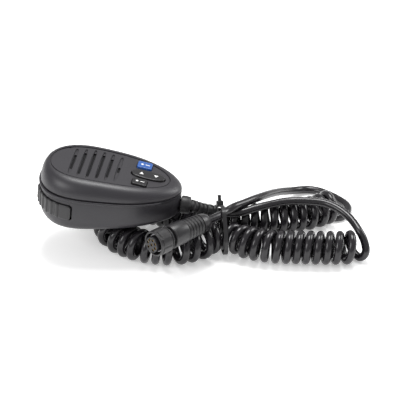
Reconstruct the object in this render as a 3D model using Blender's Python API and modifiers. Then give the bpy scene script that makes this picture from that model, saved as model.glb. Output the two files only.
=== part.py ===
"""Hand microphone with a push-to-talk bar, keys, a loudspeaker, a curly cord and a round plug.

Run with blender --background --python part.py, or from the Text Editor. Blender's unit is the metre and
+Z is up. The sizes below are millimetres, and mm() turns them into metres. The origin is the middle of
the microphone's body, +X runs to its cord end and +Y to the side away from the push-to-talk bar.
"""

from collections import namedtuple
from math import atan2, cos, degrees, hypot, pi, radians, sin, sqrt

import bmesh
import bpy
from mathutils import Matrix, Vector
from mathutils.geometry import convex_hull_2d

# The body's outlines, seen from the front: where the middle is along X, half length, half width, how much
# narrower the cord end is, and how square each end is (2 is an ellipse).
Egg = namedtuple("Egg", "middle half_length half_width taper head_power cord_power")
OUTER = Egg(-0.9, 50.4, 31.2, 0.17, 3.2, 2.5)
PANEL = Egg(-2.4, 43.4, 22.0, 0.13, 3.2, 2.6)
BACK = Egg(1.0, 38.0, 20.5, 0.13, 2.8, 2.5)
BOARD = Egg(0.0, 40.0, 22.0, 0.17, 3.0, 2.5)

# How the microphone lies: its joint plane above the floor, the cord end dipping, and its body's middle
# measured from the floor point under the middle of the joint plane.
JOINT_HEIGHT = 51.3
CORD_END_DIP = 4.0
BODY_MIDDLE = (-1.84, 0.0, 40.19)
CORD_TURN = 8.7  # the cord's loops lie turned this much from the body's axis

WALL = 2.2
GAP = 0.3
AROUND = 44  # points round an outline
FACE_HEIGHT, FACE_SLOPE, FACE_CROWN = 10.4, -0.08, -0.0009
BACK_DEPTH, BACK_SLOPE = -26.3, 0.159
WALL_FOOT = -15.5  # the rear wall is nearly upright down to here
BEAD = 0.8

SLOT_FIRST, SLOT_PITCH, SLOTS = -29.2, 6.55, 6
SLOT_WIDTH, SLOT_DEPTH, THROUGH_WIDTH = 2.2, 0.8, 1.6
SPEAKER = (-14.0, 0.0)
PORT = (-34.5, 17.8)
MICROPHONE = (-33.0, 16.0)
CASE_SCREWS = ((-22.0, 20.5), (-22.0, -20.5), (33.0, 11.0), (33.0, -11.0))
BOARD_BOTTOM, BOARD_TOP = -7.2, -5.6

KEYPAD = (22.0, 0.0, 8.2)
KEYPAD_PITCH = 6.8
KEY = (5.25, 4.25, 1.3)  # half sizes and corner radius
KEY_SPOT = (-1.5, 11.8)
ROCKER_MIDDLE, ROCKER_HALF = 3.0, (12.0, 5.3)
ROCKER_PIVOT = -1.5

BAR_START, BAR_END = 5.19, 6.196  # places on the outer outline, as angles round it
PAD = 9.0  # length of the bar's smooth end before its ribs
BAR_TOP, BAR_BOTTOM = -6.3, -17.7
BAR_OUT, BAR_IN = 1.1, -1.5
RIB, RIB_PITCH, PAD_RISE = 0.7, 4.8, 0.35
BAR_PIVOT = (-28.5, -27.0)

STUD_X = -24.0
EXIT = (49.5, 0.0, -11.4)

CORD_RADIUS = 2.9
CLAMP_X, CLAMP_SCREW_Y = 39.2, 7.0
COIL_RADIUS = 12.2
PLUG_EXIT = (67.7, -21.5, 31.5)
PLUG_HEADING, PLUG_RISE = -137.0, 1.7
CONTACT_CIRCLE, CONTACT_HOLE = 3.9, 1.05

TIE_YAW, TIE_WIDTH, TIE_THICK = 9.0, 2.8, 1.0
TIE_SPOT = (76.5, 0.0, 0.0)
TIE_HOLDS = (  # what the strap goes round: Y, height and radius of each round
    (-14.0, 12.2, 10.8), (-10.6, 12.2, 10.8), (10.6, 12.2, 10.9), (-12.4, 30.4, 3.4), (-8.4, 30.4, 3.5),
)
TIE_HEAD = (3.4, 28.1, -26.7)  # along the strap, height and lean

# Routes of the cord, in the frame of the cord's loops: X, Y, height above the floor, and a coil's radius.
COIL_FRONT = (
    (6.3, -14.5, 12.2), (13.2, -20, 12.2), (20.8, -24.5, 12.2), (29, -26.9, 12.2), (37.1, -28.1, 12.2),
    (45, -27.9, 12.2), (51.2, -25.9, 12.2), (58.1, -23, 12.2), (63.5, -19.1, 12.2), (70.3, -13.2, 11.2),
    (77.5, -11, 10.2), (83, -11.7, 10.2), (88.4, -15.3, 11.2), (95, -19.3, 12.2), (102.4, -22.6, 12.2),
    (109.6, -24.6, 12.2), (117.4, -26, 12.2), (131.4, -26.6, 12.2), (145.1, -27.3, 12.2),
    (159.8, -27.3, 12.2), (167.3, -26.6, 12.2), (173, -24.5, 12.2),
)
COIL_BEND = (
    (1, -8, 12.2), (-2, 0, 12.2), (-3.2, 9, 12.2), (-1.5, 18, 12.2), (4, 26, 12.2), (13, 30.5, 12.2),
    (24, 30, 12.2), (38, 23.5, 12.2), (52, 15, 12.2),
)
COIL_BACK = (
    (60.5, 11.1, 12), (70, 10, 10.9), (77.5, 10.4, 10.2), (82, 10.4, 10.5), (88, 10.6, 11.6),
    (95, 11.5, 12.2), (104, 12.7, 12.2), (114, 14.2, 12.2), (125, 16.8, 12.2), (138.6, 21, 12.2),
    (145.8, 24.7, 12.2), (153.7, 30.2, 12.2), (157, 33, 12.2),
)
PLUG_TAIL = (
    (67.2, -21.9, 31.5), (73, -16.5, 31), (77, -12, 30.5), (80.5, -7, 30.3), (86.5, -1.2, 30.8),
    (93.4, 7, 29), (100.3, 15.5, 27.2), (107.2, 27, 23.3), (114, 40.5, 17.8), (121, 53.5, 11.8),
    (128, 63.5, 6.6), (135, 70, 3.6), (142, 71.5, 2.9), (148.5, 69.5, 2.9), (155.3, 64.5, 2.9),
    (162.2, 57.5, 2.9), (167, 51, 2.9), (169, 45.5, 3), (168.5, 40, 3), (166.2, 34.5, 3), (164, 32, 3),
)
MIC_TAIL = (
    (176.5, -27.5, 4), (178.4, -27.4, 6.5), (179.4, -26.6, 10), (178, -22.4, 15), (174.6, -17.2, 20),
    (169.1, -6.8, 23.5), (162.2, 1.3, 26), (155.3, 6.2, 27.5), (148.5, 9.5, 28), (138.1, 11.7, 27.8),
    (127.8, 12.7, 27.3), (120.9, 11.6, 27.2), (114, 9.2, 27), (105.1, 5.4, 26.8), (100.3, 3.8, 26.3),
    (93.4, 1.2, 25.2), (86.5, 0.3, 24.4), (80.5, 0.6, 24.6), (74.4, 0.7, 25.5),
)
BOOT_ROUTE = ((62.5, -3.5, 30.5), (66.3, -1.8, 28.8), (69.4, -0.7, 27.4), (72.8, 0.4, 26))


def mm(*values):
    """Millimetres as metres: one number, or a vector of several."""
    return values[0] * 0.001 if len(values) == 1 else Vector(values) * 0.001


def linear(code):
    """A colour as linear RGBA, from its sRGB hex code."""
    steps = [int(code[i : i + 2], 16) / 255 for i in (1, 3, 5)]
    return [s / 12.92 if s <= 0.04045 else ((s + 0.055) / 1.055) ** 2.4 for s in steps] + [1.0]


def finish(name, code, roughness, metallic=0.0):
    material = bpy.data.materials.new(name)
    material.use_nodes = True
    shader = material.node_tree.nodes["Principled BSDF"]
    shader.inputs["Base Color"].default_value = linear(code)
    shader.inputs["Roughness"].default_value = roughness
    shader.inputs["Metallic"].default_value = metallic
    return material


# Outlines and surfaces of the body


def shrunk(egg, by):
    return egg._replace(half_length=egg.half_length - by, half_width=egg.half_width - by)


def egg_point(egg, turn):
    """The outline's point at an angle: 0 is the head end, pi the cord end, over pi the near side."""
    along = -cos(turn)
    power = egg.head_power if along < 0 else egg.cord_power
    half = egg.half_width * sqrt(max(0.0, 1 - abs(along) ** power)) * (1 - egg.taper * along)
    return Vector((egg.middle + egg.half_length * along, half if sin(turn) >= 0 else -half))


def offset_point(egg, turn, out):
    """The outline's point moved square to the outline, outwards where out is over 0."""
    ahead = egg_point(egg, turn + 0.002) - egg_point(egg, turn - 0.002)
    return egg_point(egg, turn) + Vector((-ahead.y, ahead.x)).normalized() * out


def between(first, second, share):
    """The outline that lies this share of the way from the first to the second."""
    return Egg(*(a + (b - a) * share for a, b in zip(first, second)))


def egg_ring(egg, height):
    """The outline as a ring of points, where height gives the height at each x."""
    spots = [egg_point(egg, 2 * pi * i / AROUND) for i in range(AROUND)]
    return [(p.x, p.y, height(p.x)) for p in spots]


def face_height(x):
    return FACE_HEIGHT + FACE_SLOPE * x + FACE_CROWN * x * x


def back_height(x):
    return BACK_DEPTH + BACK_SLOPE * x


def rounded_box_ring(half_x, half_y, corner, height, middle=(0.0, 0.0)):
    """A rectangle with round corners, four points to a corner."""
    points = []
    for quarter, (sx, sy) in enumerate(((1, 1), (-1, 1), (-1, -1), (1, -1))):
        for step in range(4):
            turn = (quarter + step / 3) * pi / 2
            x = middle[0] + sx * (half_x - corner) + corner * cos(turn)
            y = middle[1] + sy * (half_y - corner) + corner * sin(turn)
            points.append((x, y, height))
    return points


def oval_ring(half_x, half_y, height, middle):
    """A slightly squared oval in 32 points."""
    points = []
    for i in range(32):
        c, s = cos(2 * pi * i / 32), sin(2 * pi * i / 32)
        x = half_x * abs(c) ** 0.85 * (1 if c >= 0 else -1)
        y = half_y * abs(s) ** 0.85 * (1 if s >= 0 else -1)
        points.append((middle + x, y, height))
    return points


# Objects


def clear_scene():
    for obj in list(bpy.data.objects):
        bpy.data.objects.remove(obj)


def collection(name):
    group = bpy.data.collections.new(name)
    bpy.context.scene.collection.children.link(group)
    return group


clear_scene()
PARTS = collection("hand_microphone")
CUTTERS = collection("cutters")
FRONT_BOSSES = collection("front_shell_bosses")
FRONT_HOLES = collection("front_shell_holes")
REAR_BOSSES = collection("rear_shell_bosses")
REAR_HOLES = collection("rear_shell_holes")
BOARD_HOLES = collection("board_holes")
INSERT_HOLES = collection("insert_holes")
NUT_PADS = collection("nut_pads")

PLASTIC = finish("moulded charcoal ABS", "#47464a", 0.55)
BAR_PLASTIC = finish("dark keypad plastic", "#39383b", 0.5)
BLUE = finish("blue key plastic", "#3f7fd2", 0.4)
RUBBER = finish("black rubber", "#1d1c1e", 0.7)
CORD_RUBBER = finish("glossy black cord jacket", "#2a282b", 0.35)
STEEL = finish("zinc-plated steel", "#b8b6b0", 0.35, 1.0)
GREEN = finish("green circuit board", "#1f5a38", 0.5)
PAPER = finish("grey paper cone", "#55534f", 0.9)
NYLON = finish("black nylon", "#242326", 0.5)
PLUG_PLASTIC = finish("satin plug plastic", "#4a494c", 0.45)
PLUG_METAL = finish("dark nickel plate", "#77767a", 0.3, 1.0)
GOLD = finish("gold-plated brass", "#d8b25a", 0.25, 1.0)


def empty(name, where=(0, 0, 0), turn=(0, 0, 0), parent=None):
    obj = bpy.data.objects.new(name, None)
    bpy.context.scene.collection.objects.link(obj)
    return placed(obj, where, turn, parent)


def placed(obj, where, turn, parent):
    obj.location = mm(*where)
    obj.rotation_euler = [radians(angle) for angle in turn]
    obj.parent = parent
    return obj


def add(name, data, material, parent, where=(0, 0, 0), turn=(0, 0, 0), into=None):
    """A piece, or a cutter or boss where into names its collection."""
    obj = bpy.data.objects.new(name, data)
    (into or PARTS).objects.link(obj)
    if material:
        data.materials.append(material)
    if into:
        obj.hide_render = True
        obj.display_type = "WIRE"
    if obj.type == "MESH" and data.polygons:
        data.shade_smooth()
        data.set_sharp_from_angle(angle=radians(35))
    return placed(obj, where, turn, parent)


def mesh_of(shape, name):
    bmesh.ops.recalc_face_normals(shape, faces=shape.faces)
    data = bpy.data.meshes.new(name)
    shape.to_mesh(data)
    shape.free()
    return data


def loft(rings, caps="flat"):
    """A skin through rings of as many points each. caps is flat, strips (for rings mirrored about their
    first point, which need not be flat) or none, which joins the last ring to the first."""
    shape = bmesh.new()
    rows = [[shape.verts.new(mm(*point)) for point in ring] for ring in rings]
    count = len(rings[0])
    pairs = list(zip(rows, rows[1:])) + ([(rows[-1], rows[0])] if caps == "none" else [])
    for one, two in pairs:
        for i in range(count):
            j = (i + 1) % count
            shape.faces.new((one[i], one[j], two[j], two[i]))
    for row in (rows[0], rows[-1]) if caps != "none" else ():
        if caps == "flat":
            shape.faces.new(row)
            continue
        for i in range(count // 2):
            corners = (row[i], row[i + 1], row[-i - 1], row[-i])
            shape.faces.new(sorted(set(corners), key=corners.index))
    return mesh_of(shape, "loft")


def cylinder(radius, low, high, sides=20):
    shape = bmesh.new()
    middle = Matrix.Translation(mm(0, 0, (low + high) / 2))
    bmesh.ops.create_cone(
        shape, cap_ends=True, segments=sides, radius1=mm(radius), radius2=mm(radius),
        depth=mm(high - low), matrix=middle,
    )
    return mesh_of(shape, "cylinder")


def block(size, low, bevel=0.0):
    """A box of this size, its middle on the origin in X and Y and its foot at low."""
    shape = bmesh.new()
    bmesh.ops.create_cube(shape, size=1.0)
    bmesh.ops.scale(shape, vec=mm(*size), verts=shape.verts)
    bmesh.ops.translate(shape, vec=mm(0, 0, low + size[2] / 2), verts=shape.verts)
    if bevel:
        bmesh.ops.bevel(shape, geom=shape.edges, offset=mm(bevel), segments=2, affect="EDGES", profile=0.5)
    return mesh_of(shape, "block")


def turned(name, profile, material, parent, where=(0, 0, 0), turn=(0, 0, 0), sides=32, bored=False):
    """A turned piece. The profile is (radius, height) from the top down its outer side. It starts and ends
    on the axis, or with bored it goes back up the bore."""
    data = bpy.data.meshes.new(name)
    ends = [(i, i + 1) for i in range(len(profile) - 1)] + ([(len(profile) - 1, 0)] if bored else [])
    data.from_pydata([mm(r, 0, z) for r, z in profile], ends, [])
    obj = add(name, data, material, parent, where, turn)
    screw = obj.modifiers.new("Turn", "SCREW")
    screw.steps = screw.render_steps = sides
    screw.use_merge_vertices = True
    screw.merge_threshold = 0.00001
    screw.use_smooth_shade = True
    return obj


def boolean(obj, operation, other):
    """Cuts or joins with one object or with every object of a collection."""
    change = obj.modifiers.new(operation.title(), "BOOLEAN")
    change.operation = operation
    change.solver = "EXACT"
    if isinstance(other, bpy.types.Collection):
        change.operand_type = "COLLECTION"
        change.collection = other
    else:
        change.object = other


def smooth_route(points, spacing):
    """Points about this far apart on a Catmull-Rom curve through the route's points."""
    route = [Vector(p) for p in points]
    route = [route[0] * 2 - route[1]] + route + [route[-1] * 2 - route[-2]]
    out = []
    for a, b, c, d in zip(route, route[1:], route[2:], route[3:]):
        steps = max(1, round((c - b).length / spacing))
        for step in range(steps):
            t = step / steps
            out.append(
                0.5 * ((2 * b) + (c - a) * t + (2 * a - 5 * b + 4 * c - d) * t**2
                       + (3 * b - a - 3 * c + d) * t**3)
            )
    return out + [route[-2]]


def tube(name, points, radii, material, parent, sides_resolution=2):
    """A round tube along the points: one radius for all of it, or one radius for each point."""
    data = bpy.data.curves.new(name, "CURVE")
    data.dimensions = "3D"
    data.bevel_depth = 0.001
    data.bevel_resolution = sides_resolution
    data.use_fill_caps = True
    spline = data.splines.new("POLY")
    spline.points.add(len(points) - 1)
    spline.use_smooth = True
    for i, point in enumerate(points):
        spline.points[i].co = (*mm(*point), 1.0)
        spline.points[i].radius = radii if isinstance(radii, (int, float)) else radii[i]
    return add(name, data, material, parent)


# The frames that the pieces are placed in

whole = empty("body_middle", where=[-v for v in BODY_MIDDLE])
body = empty("body_frame", where=(0, 0, JOINT_HEIGHT), turn=(0, CORD_END_DIP, 0), parent=whole)
keypad = empty("keypad_frame", where=KEYPAD, turn=(0, KEYPAD_PITCH, 0), parent=body)
stud = empty("stud_frame", where=(STUD_X, 0, back_height(STUD_X)), turn=(0, -9.03, 0), parent=body)
loops = empty("cord_frame", turn=(0, 0, CORD_TURN), parent=whole)
plug = empty("plug_frame", where=PLUG_EXIT, turn=(0, 90 - PLUG_RISE, PLUG_HEADING), parent=loops)


def body_to_loops(x, y, z):
    """A point of the body's frame, in the frame of the cord's loops."""
    leaned = Matrix.Rotation(radians(CORD_END_DIP), 3, "Y") @ Vector((x, y, z))
    raised = leaned + Vector((0, 0, JOINT_HEIGHT))
    return Matrix.Rotation(radians(-CORD_TURN), 3, "Z") @ raised


# Front shell


def front_form(inset):
    """The front's closed form: a wall that rounds over to the face. inset makes the room inside it."""
    outer, panel, lift = shrunk(OUTER, inset), shrunk(PANEL, inset), -inset
    foot = GAP / 2 if inset == 0 else -1.0
    rings = [egg_ring(outer, lambda x: foot)]
    for step in range(1, 7):
        rise = step / 6 * pi / 2
        outline = between(panel, outer, cos(rise))
        rings.append(egg_ring(outline, lambda x, s=sin(rise): max(foot, (face_height(x) + lift) * s)))
    return loft(rings, "strips")


def make_front_shell():
    shell = add("front_shell", front_form(0), PLASTIC, body)
    room = add("front_room", front_form(WALL), None, body, into=CUTTERS)
    for x, y in CASE_SCREWS:
        top = face_height(x) - 1.1
        add("front_boss", cylinder(2.9, BOARD_TOP + GAP, top), None, body, (x, y, 0), into=FRONT_BOSSES)
        add("pilot", cylinder(1.45, -9, top - 1.4, 12), None, body, (x, y, 0), into=FRONT_HOLES)
    for i in range(SLOTS):
        x = SLOT_FIRST + SLOT_PITCH * i
        length = 2 * (19.9 - 0.0095 * (x + 14) ** 2)
        opening = 1.8 * sqrt(max(5.0, 18.5**2 - (x + 14.5) ** 2))
        floor = face_height(x) - SLOT_DEPTH
        groove = block((SLOT_WIDTH, length, 4), floor)
        add("groove", groove, None, body, (x, 0, 0), into=FRONT_HOLES)
        through = block((THROUGH_WIDTH, opening, 6), floor - 4)
        add("through_slot", through, None, body, (x, 0, 0), into=FRONT_HOLES)
    add("port", cylinder(0.9, 6, 14, 12), None, body, (*PORT, 0), into=FRONT_HOLES)
    for side in (1, -1):
        spot = (KEY_SPOT[0], side * KEY_SPOT[1])
        sizes = (KEY[0] + GAP, KEY[1] + GAP, KEY[2] + GAP)
        window = loft([rounded_box_ring(*sizes, height, spot) for height in (-4, 4)])
        add("key_window", window, None, keypad, into=FRONT_HOLES)
    oval = [oval_ring(ROCKER_HALF[0] + 0.5, ROCKER_HALF[1] + 0.4, h, ROCKER_MIDDLE) for h in (-5, 4)]
    add("rocker_window", loft(oval), None, keypad, into=FRONT_HOLES)
    boolean(shell, "DIFFERENCE", room)
    boolean(shell, "UNION", FRONT_BOSSES)
    boolean(shell, "DIFFERENCE", FRONT_HOLES)


# Rear shell


def rear_form(inset):
    """The rear's closed form: a bead under the joint, an upright wall, and a round into the sloping back."""
    outer, back = shrunk(OUTER, inset), shrunk(BACK, inset)
    if inset:
        rings = [egg_ring(outer, lambda x: 1.0)]
    else:
        swollen = shrunk(OUTER, -BEAD)
        rings = [egg_ring(outer, lambda x: -GAP / 2), egg_ring(swollen, lambda x: -0.9),
                 egg_ring(swollen, lambda x: -2.4), egg_ring(outer, lambda x: -3.2)]
    rings.append(egg_ring(outer, lambda x: WALL_FOOT))
    for step in range(1, 6):
        fall = step / 5 * pi / 2
        outline = between(back, outer, cos(fall))

        def height(x, share=sin(fall)):
            return WALL_FOOT + (back_height(x) + inset - WALL_FOOT) * share

        rings.append(egg_ring(outline, height))
    return loft(rings, "strips")


def bar_places(start, end, count):
    return [start + (end - start) * i / (count - 1) for i in range(count)]


def wall_strip(start, end, inner, outer, low, high, count=14):
    """A solid that follows the outline, from inner to outer millimetres off it."""
    sections = []
    for turn in bar_places(start, end, count):
        near, far = offset_point(OUTER, turn, inner), offset_point(OUTER, turn, outer)
        sections.append([(*near, low), (*far, low), (*far, high), (*near, high)])
    return loft(sections)


def make_rear_shell():
    shell = add("rear_shell", rear_form(0), PLASTIC, body)
    room = add("rear_room", rear_form(WALL), None, body, into=CUTTERS)
    window = add(
        "bar_window", wall_strip(BAR_START - 0.025, BAR_END + 0.06, -3.3, 4, BAR_BOTTOM - 1, BAR_TOP + 1),
        None, body, into=CUTTERS,
    )
    for x, y in CASE_SCREWS:
        foot = back_height(x) + (2.0 if x < 0 else 1.6)
        tower = cylinder(3.6, foot, BOARD_BOTTOM - GAP)
        add("tower", tower, None, body, (x, y, 0), into=REAR_BOSSES)
        add("screw_hole", cylinder(1.5, -20, 0, 12), None, body, (x, y, 0), into=REAR_HOLES)
        add("counterbore", cylinder(2.9, -45, -9.5, 16), None, body, (x, y, 0), into=REAR_HOLES)
    for low, high in ((-7.7, -3), (-21, -16.3)):
        ear = cylinder(2.0, low, high, 16)
        add("pin_ear", ear, None, body, (*BAR_PIVOT, 0), into=REAR_BOSSES)
    add("pin_hole", cylinder(1.1, -19, -4, 12), None, body, (*BAR_PIVOT, 0), into=REAR_HOLES)
    for side in (1, -1):
        spot = (CLAMP_X, side * CLAMP_SCREW_Y, 0)
        post = cylinder(2.4, back_height(CLAMP_X) + 1.8, -14.3, 12)
        add("clamp_post", post, None, body, spot, into=REAR_BOSSES)
        add("clamp_pilot", cylinder(1.0, -17.2, -13, 8), None, body, spot, into=REAR_HOLES)
    cord_hole = cylinder(3.3, -10, 8)
    add("cord_hole", cord_hole, None, body, EXIT, (0, 90, 0), into=REAR_HOLES)
    add("stud_hole", cylinder(1.7, -2, 6, 16), None, stud, into=REAR_HOLES)
    boolean(shell, "DIFFERENCE", room)
    boolean(shell, "DIFFERENCE", window)
    boolean(shell, "UNION", REAR_BOSSES)
    boolean(shell, "DIFFERENCE", REAR_HOLES)


def make_shell_gasket():
    """A rubber ring that hugs the inside of the joint between the shells."""
    outer, inner = shrunk(OUTER, WALL + GAP), shrunk(OUTER, WALL + 1.5)
    rings = [egg_ring(egg, lambda x, h=h: h) for egg, h in ((outer, 0.5), (outer, -1.1), (inner, -1.1),
                                                          (inner, 0.5))]
    add("shell_gasket", loft(rings, "none"), RUBBER, body)


# Push-to-talk bar


def make_ptt_bar():
    """The ribbed bar, in the frame of its hinge pin, with a knuckle round the pin."""
    hinge = empty("ptt_hinge", where=(*BAR_PIVOT, 0), parent=body)
    sections = []
    travelled, last = 0.0, None
    for turn in bar_places(BAR_START, BAR_END, 44):
        here = egg_point(OUTER, turn)
        travelled += (here - last).length if last else 0.0
        last = here
        ribs = max(0.0, cos(2 * pi * (travelled - PAD - 1.2) / RIB_PITCH))
        ribbed = RIB * ribs if travelled > PAD else PAD_RISE
        near, far = offset_point(OUTER, turn, BAR_IN), offset_point(OUTER, turn, BAR_OUT + ribbed)
        shoulder = offset_point(OUTER, turn, BAR_OUT + ribbed - 0.9)
        section = [(*near, BAR_BOTTOM), (*shoulder, BAR_BOTTOM), (*far, BAR_BOTTOM + 1.2),
                   (*far, BAR_TOP - 1.2), (*shoulder, BAR_TOP), (*near, BAR_TOP)]
        sections.append([(x - BAR_PIVOT[0], y - BAR_PIVOT[1], z) for x, y, z in section])
    bar = add("ptt_bar", loft(sections), BAR_PLASTIC, hinge)
    knuckle = add("knuckle", cylinder(2.0, -16, -8), None, hinge, into=CUTTERS)
    web = add("knuckle_web", block((2.6, 3.4, 7), -15.5), None, hinge, (-1.9, -2.6, 0), into=CUTTERS)
    bore = add("knuckle_bore", cylinder(1.2, -20, -4, 12), None, hinge, into=CUTTERS)
    boolean(bar, "UNION", web)
    boolean(bar, "UNION", knuckle)
    boolean(bar, "DIFFERENCE", bore)


def make_ptt_inside():
    add("ptt_pivot_pin", cylinder(0.8, -18.7, -4.3, 12), STEEL, body, (*BAR_PIVOT, 0))
    membrane = wall_strip(BAR_START + 0.354, BAR_END + 0.02, -5.2, -4.2, -19, -5, 10)
    add("ptt_membrane", membrane, RUBBER, body)
    turn = BAR_START + 0.664
    spot = offset_point(OUTER, turn, -8.4)
    ahead = egg_point(OUTER, turn + 0.01) - egg_point(OUTER, turn - 0.01)
    along = degrees(atan2(ahead.y, ahead.x))
    add("ptt_switch", block((6, 5.2, 6), -15, 0.4), BAR_PLASTIC, body, (*spot, 0), (0, 0, along))


# Keys


def make_key(name, side, material):
    x, y, corner = KEY
    levels = ((x, y, -5), (x, y, -4.2), (x + 0.8, y + 0.8, -4.2), (x + 0.8, y + 0.8, -3.2), (x, y, -3.2),
              (x, y, 0.7), (x - 0.5, y - 0.5, 1.2))
    spot = (KEY_SPOT[0], side * KEY_SPOT[1], 0)
    rings = [rounded_box_ring(half_x, half_y, corner, height) for half_x, half_y, height in levels]
    add(name, loft(rings), material, keypad, spot)


def make_rocker():
    x, y = ROCKER_HALF
    levels = ((x - 1, y - 1, -4.9), (x + 0.6, y + 0.6, -4.9), (x + 0.6, y + 0.6, -4.0), (x, y, -4.0),
              (x, y, 0.5), (x - 0.6, y - 0.6, 1.0))
    pivot = empty("rocker_axis", where=(ROCKER_MIDDLE, 0, ROCKER_PIVOT), parent=keypad)
    rings = [oval_ring(hx, hy, height - ROCKER_PIVOT, 0) for hx, hy, height in levels]
    add("rocker_key", loft(rings), BAR_PLASTIC, pivot)


def make_keypad_sheet():
    """The rubber sheet under the keys: a plate with a tongue under the rocker's end."""
    sheet = add("keypad_sheet", block((17, 33, 1.1), -7), RUBBER, keypad, (-1, 0, 0))
    tongue = add("sheet_tongue", block((12, 13, 1.1), -7), None, keypad, (10.5, 0, 0), into=CUTTERS)
    boolean(sheet, "UNION", tongue)


# What the body holds


def make_main_board():
    rings = [egg_ring(BOARD, lambda x, h=h: h) for h in (BOARD_BOTTOM, BOARD_TOP)]
    board = add("main_board", loft(rings), GREEN, body)
    for x, y in CASE_SCREWS:
        add("board_hole", cylinder(1.6, -9, -4, 12), None, body, (x, y, 0), into=BOARD_HOLES)
    boolean(board, "DIFFERENCE", BOARD_HOLES)
    add("cord_header", block((6, 10, 3.4), -10.9, 0.3), NYLON, body, (27, 0, 0))


def make_speaker():
    frame = ((17, 6.3), (17, 5.1), (15, 4.4), (10.6, 1), (5, 1), (5, 1.9), (10, 1.9), (15.6, 6.3))
    turned("speaker_frame", frame, STEEL, body, (*SPEAKER, 0), sides=24, bored=True)
    cone = ((0, 4.4), (3.6, 4.2), (4.2, 3.6), (14.2, 6.2), (14.2, 5.8), (4.4, 2.9), (0, 2.4))
    turned("speaker_cone", cone, PAPER, body, (*SPEAKER, 0), sides=20)
    turned("speaker_magnet", ((0, 0.7), (10, 0.7), (10, -4), (0, -4)), NYLON, body, (*SPEAKER, 0), sides=24)
    turned("speaker_seal", ((16.8, 7.4), (16.8, 6.6), (15.2, 6.6), (15.2, 7.4)), RUBBER, body,
           (*SPEAKER, 0), sides=24, bored=True)


def make_microphone():
    spot = (*MICROPHONE, 0)
    turned("mic_capsule", ((0, 6.2), (4.85, 6.2), (4.85, 1.4), (0, 1.4)), STEEL, body, spot, sides=16)
    boot = ((0, 1.1), (5.2, 1.1), (5.2, 6.6), (6.1, 6.6), (6.1, 0.4), (0, 0.4))
    turned("mic_boot", boot, RUBBER, body, spot, sides=16)


def make_screws():
    for number, (x, y) in enumerate(CASE_SCREWS, 1):
        profile = ((0, 2.6), (1.15, 2.6), (1.15, -9.8), (2.5, -9.8), (2.5, -11.2), (1.9, -11.7), (0, -11.7))
        turned(f"case_screw_{number}", profile, STEEL, body, (x, y, 0), sides=10)
    for number, side in enumerate((1, -1), 1):
        profile = ((0, -8.3), (1.7, -8.3), (1.7, -9.8), (0.7, -9.8), (0.7, -16.8), (0, -16.8))
        spot = (CLAMP_X, side * CLAMP_SCREW_Y, 0)
        turned(f"clamp_screw_{number}", profile, STEEL, body, spot, sides=10)


def make_cord_clamp():
    middle = (CLAMP_X, 0, 0)
    clamp = add("cord_clamp", block((4.4, 18.6, 6.4), -14), NYLON, body, middle)
    along = (CLAMP_X, 0, EXIT[2])
    channel = add("clamp_channel", cylinder(3.1, -8, 8, 16), None, body, along, (0, 90, 0), CUTTERS)
    opening = add("clamp_opening", block((8, 5.8, 6), -17.3), None, body, middle, into=CUTTERS)
    boolean(clamp, "DIFFERENCE", channel)
    boolean(clamp, "DIFFERENCE", opening)
    for side in (1, -1):
        spot = (CLAMP_X, side * CLAMP_SCREW_Y, 0)
        hole = add("clamp_hole", cylinder(1.0, -20, -5, 10), None, body, spot, into=CUTTERS)
        sink = add("clamp_sink", cylinder(2.0, -10.1, -5, 12), None, body, spot, into=CUTTERS)
        boolean(clamp, "DIFFERENCE", hole)
        boolean(clamp, "DIFFERENCE", sink)
    inner = [(x, 0, EXIT[2]) for x in (34, 39, 44.2)]
    tube("inner_cable", inner, CORD_RADIUS, CORD_RUBBER, body)


def make_hanger():
    profile = ((0, -6.4), (1.7, -6.4), (1.7, -GAP), (3.6, -GAP), (3.6, -5.4), (4.2, -5.8), (6, -5.8),
               (6.5, -6.3), (6.5, -8.2), (6, -8.7), (0, -8.7))
    turned("hanger_stud", profile, STEEL, stud, sides=24)
    profile = ((0, 4.3), (2.6, 4.3), (2.6, 2.6), (1.4, 2.6), (1.4, -5.9), (0, -5.9))
    turned("stud_screw", profile, STEEL, stud, sides=12)


# The cord


def make_strain_relief():
    """The moulded boot: a flange and neck in the shell's wall, a collar outside, then a ribbed taper."""
    straight = ((-4.9, 3.9), (-3.1, 3.9), (-3.05, 3.0), (0.3, 3.0), (0.35, 6.3), (3.5, 6.4), (6.8, 5.9),
                (7.3, 3.9))
    points = [body_to_loops(EXIT[0] + x, EXIT[1], EXIT[2]) for x, _ in straight]
    radii = [radius for _, radius in straight]
    ribbed = smooth_route([points[-1], *BOOT_ROUTE], 1.6)[1:]
    points += ribbed
    radii += [4.4 if i % 2 else 3.5 for i in range(len(ribbed) - 2)] + [3.5, 3.5]
    tube("strain_relief", points, radii, RUBBER, loops, 3)


def make_coil(name, route):
    """A coil's outer shape as one fat tube, as the turns of the cord fill it."""
    points = [(x, y, COIL_RADIUS) for x, y, _ in route]
    fine = smooth_route(points, 9)
    spans = [hypot(b.x - a.x, b.y - a.y) for a, b in zip(fine, fine[1:])]
    marks = [hypot(b[0] - a[0], b[1] - a[1]) for a, b in zip(route, route[1:])]
    radii, travelled = [], 0.0
    for step in range(len(fine)):
        share = travelled / sum(spans) * sum(marks)
        leg = 0
        while leg < len(marks) - 1 and share > marks[leg]:
            share -= marks[leg]
            leg += 1
        radii.append(route[leg][2] + (route[leg + 1][2] - route[leg][2]) * min(1.0, share / marks[leg]))
        travelled += spans[step] if step < len(spans) else 0.0
    tube(name, fine, radii, CORD_RUBBER, loops, 4)


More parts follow.
